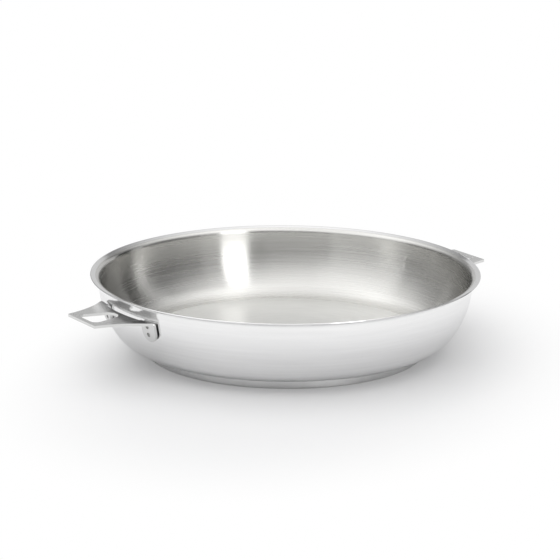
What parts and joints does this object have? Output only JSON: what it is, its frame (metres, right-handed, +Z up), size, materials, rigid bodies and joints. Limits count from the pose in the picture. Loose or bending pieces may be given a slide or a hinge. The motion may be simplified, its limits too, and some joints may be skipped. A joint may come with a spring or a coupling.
{
  "type": "frying pan",
  "caption": "Shallow round stainless frying pan with a flared pouring lip, a thick bonded base and a flat loop lug welded on each side for a clip-on handle.",
  "frame": {"origin": "centre of the base underside, on the surface that the pan stands on", "axes": "+Z up along the pan's axis, +X from the left lug to the right lug, -Y to the front"},
  "size_m": [0.3506, 0.2914, 0.0596],
  "materials": {
    "shell_steel": "polished outside, satin brushed inside",
    "core_aluminium": "as rolled",
    "base_steel": "satin, turned in circles underneath",
    "lug_steel": "tumble polished",
    "weld_steel": "pressed and slightly matt"
  },
  "bodies": {
    "root": {"pan_body": "shell_steel", "heat_core": "core_aluminium", "base_cap": "base_steel", "lug_left": "lug_steel", "lug_right": "lug_steel", "weld_left_front_upper": "weld_steel", "weld_left_front_lower": "weld_steel", "weld_left_back_upper": "weld_steel", "weld_left_back_lower": "weld_steel", "weld_right_front_upper": "weld_steel", "weld_right_front_lower": "weld_steel", "weld_right_back_upper": "weld_steel", "weld_right_back_lower": "weld_steel"}
  },
  "joints": []
}
